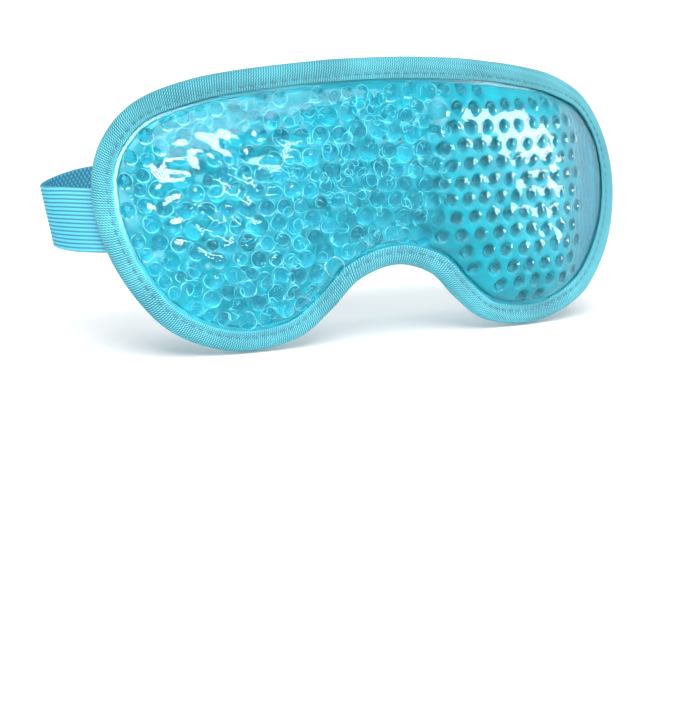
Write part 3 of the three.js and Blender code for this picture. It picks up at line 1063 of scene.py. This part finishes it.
def box_stitches(name, node, strap, body, middle, length, width, surface):
    """Stitches round a rectangle on a strap, at a height out from its middle surface."""
    pitch, stitch = 2.4, 1.8
    corners = [(-1, -1), (1, -1), (1, 1), (-1, 1)]
    starts, ends, lifts = [], [], []
    for (a0, u0), (a1, u1) in zip(corners, corners[1:] + corners[:1]):
        side = math.hypot((a1 - a0) * length / 2, (u1 - u0) * width / 2)
        count = max(2, round(side / pitch))
        for i in range(count):
            share = (np.array([0, stitch / pitch]) + i + 0.1) / count
            along = middle + (a0 + (a1 - a0) * share) * length / 2
            up = (u0 + (u1 - u0) * share) * width / 2
            here = strap.place(along, up, surface) / MM
            lifted = strap.place(along[:1], up[:1], surface + math.copysign(0.5, surface)) / MM
            starts.append(here[0])
            ends.append(here[1])
            lifts.append(lifted[0] - here[0])
    piece = stitch_mesh(name, starts, ends, lifts, thread)
    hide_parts(node)
    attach(piece, body)


rim_stitches("front_binding_stitches", "binding_front_thread", TAPE_FRONT + TAPE - 0.05, 1)
rim_stitches("back_binding_stitches", "binding_back_thread", TAPE_BACK - TAPE + 0.05, -1)
hook_middle, loop_middle = left.length - 24, right.length - 24
box_stitches("left_strap_seam_stitches", "left_strap_seam_thread", left, "pad", 5, 7, 15, 0.55)
box_stitches("right_strap_seam_stitches", "right_strap_seam_thread", right, "pad", 5, 7, 15, 0.55)
box_stitches("hook_patch_stitches", "hook_patch_thread", left, "left_strap", hook_middle, 39, 14, -0.75)
box_stitches("loop_patch_stitches", "loop_patch_thread", right, "right_strap", loop_middle, 39, 14, 0.55)


# ---------------------------------------------------------------- fastening patches


def make_patch(name, node, body, strap, way, material):
    """Fastening patch on a strap's end: a thin tape with a raised, uneven field of hooks or loops."""
    rows, columns = 100, 42
    last = strap.length - PATCH_MARGIN
    along = np.linspace(last - PATCH_LENGTH, last, rows)
    up = np.linspace(-PATCH_WIDTH / 2, PATCH_WIDTH / 2, columns)
    a, u = np.meshgrid(along, up, indexing="ij")
    draw = np.random.default_rng(len(name))
    edge = np.minimum(np.minimum(a - along[0], along[-1] - a), PATCH_WIDTH / 2 - np.abs(u))
    field = smoothstep(edge, 0.6, 1.4) * (0.45 + 0.3 * draw.random(a.shape)) + 0.45
    near = ELASTIC / 2 + GAP
    top = strap.place(a, u, way * (near + field)).reshape(-1, 3)
    bottom = strap.place(a, u, way * near).reshape(-1, 3)
    sheet = grid_faces(rows, columns)
    offset = rows * columns
    loop = patch_border(rows, columns)
    wall = [(i, j, j + offset, i + offset) for i, j in zip(loop, loop[1:] + loop[:1])]
    faces = [tuple(f) for f in sheet] + [tuple(f[::-1] + offset) for f in sheet] + wall
    piece = outward(mesh_piece(name, np.vstack([top, bottom]), faces, material))
    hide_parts(node)
    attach(piece, body)


def patch_border(rows, columns):
    """Grid points round the border, in order."""
    top = list(range(columns))
    right_side = [r * columns + columns - 1 for r in range(1, rows)]
    bottom = [(rows - 1) * columns + c for c in range(columns - 2, -1, -1)]
    left_side = [r * columns for r in range(rows - 2, 0, -1)]
    return top + right_side + bottom + left_side


hook_tape = patch_material("hook_tape", (0.03, 0.36, 0.5), (0.12, 0.55, 0.7), 0.55)
loop_tape = patch_material("loop_tape", (0.06, 0.42, 0.55), (0.2, 0.64, 0.76), 0.95)
make_patch("hook_field", "hook_patch", "left_strap", left, 1, hook_tape)
make_patch("loop_field", "loop_patch", "right_strap", right, -1, loop_tape)


# ---------------------------------------------------------------- floor, light and camera


def make_floor():
    """A flat floor that curves gently up far away, so that it fills the view behind the mask. The film
    doesn't mirror it."""
    steps = 96
    profile = [(0.5, 0), (1.5, 0), (2.5, 0.05), (4, 0.25), (7, 0.9), (12, 2.4), (20, 5.5), (40, 14)]
    turn = np.linspace(0, 2 * np.pi, steps, endpoint=False)
    clearance = 0.6 * MM
    base = cad_box[0][2] - clearance
    points = [(r * math.cos(t), r * math.sin(t), base + h) for r, h in profile for t in turn]
    faces = [tuple(f) for f in grid_faces(len(profile), steps, wrap_columns=True)]
    faces.append(tuple(range(steps))[::-1])
    paint = Paint("floor", (0.96, 0.96, 0.96), 0.7, Specular_IOR_Level=0.0, Emission_Strength=0.12)
    floor = mesh_piece("floor", points, faces, paint.material)
    floor.visible_glossy = False


def softbox(name, direction, distance, size, radiance, glare_only=False):
    """A rectangular lamp that faces the mask. radiance is its brightness as seen. A glare_only lamp shows
    in the film's gloss and lights nothing else."""
    lamp = bpy.data.lights.new(name, "AREA")
    lamp.shape = "RECTANGLE"
    lamp.size, lamp.size_y = size
    lamp.energy = radiance * math.pi * size[0] * size[1]
    obj = bpy.data.objects.new(name, lamp)
    way = Vector(direction).normalized()
    obj.location = way * distance
    obj.rotation_euler = way.to_track_quat("Z", "Y").to_euler()
    obj.visible_diffuse = not glare_only
    obj.visible_transmission = not glare_only
    bpy.context.scene.collection.objects.link(obj)


def make_light():
    """An overhead sun and a front fill on a white studio, and three lamps for the film's glare."""
    world = bpy.data.worlds.new("studio")
    bpy.context.scene.world = world
    world.use_nodes = True
    world.node_tree.nodes["Background"].inputs[0].default_value = (1, 1, 1, 1)
    world.node_tree.nodes["Background"].inputs[1].default_value = 0.3
    sun = bpy.data.lights.new("overhead", "SUN")
    sun.energy = 2.6
    sun.angle = math.radians(60)
    overhead = bpy.data.objects.new("overhead", sun)
    overhead.rotation_euler = (math.radians(22), math.radians(-8), 0)
    bpy.context.scene.collection.objects.link(overhead)
    softbox("front_fill", (-0.3, -0.8, 0.75), 1.5, (0.9, 0.5), 2)
    softbox("left_glare", (-0.44, -0.83, 0.43), 1.1, (0.5, 0.32), 52, glare_only=True)
    softbox("low_glare", (-0.04, -0.95, 0.12), 1.1, (0.2, 0.08), 30, glare_only=True)
    softbox("right_glare", (0.82, -0.53, 0.18), 1.1, (0.38, 0.42), 30, glare_only=True)


def make_camera():
    """Seen from the wearer's right side and a little above, with a slight roll."""
    azimuth = math.radians(CAMERA_AZIMUTH)
    elevation = math.radians(CAMERA_ELEVATION)
    roll = math.radians(CAMERA_ROLL)
    facing = Vector((math.sin(azimuth), -math.cos(azimuth), 0))
    back = facing * math.cos(elevation) + Vector((0, 0, math.sin(elevation)))
    level = Vector((math.cos(azimuth), math.sin(azimuth), 0))
    upright = back.cross(level)
    across = level * math.cos(roll) + upright * math.sin(roll)
    up = upright * math.cos(roll) - level * math.sin(roll)
    data = bpy.data.cameras.new("camera")
    data.sensor_fit = "HORIZONTAL"
    data.sensor_width = 36
    data.lens = CAMERA_LENS
    data.clip_start = 0.01
    camera = bpy.data.objects.new("camera", data)
    place = back * CAMERA_BACK + across * CAMERA_ASIDE + up * CAMERA_UP + Vector((0, FACE_SIDE, 0))
    turn = Matrix((across, up, back)).transposed().to_4x4()
    camera.matrix_world = Matrix.Translation(place * MM) @ turn
    bpy.context.scene.collection.objects.link(camera)
    bpy.context.scene.camera = camera


make_floor()
make_light()
make_camera()
bpy.context.scene.view_settings.view_transform = "Standard"
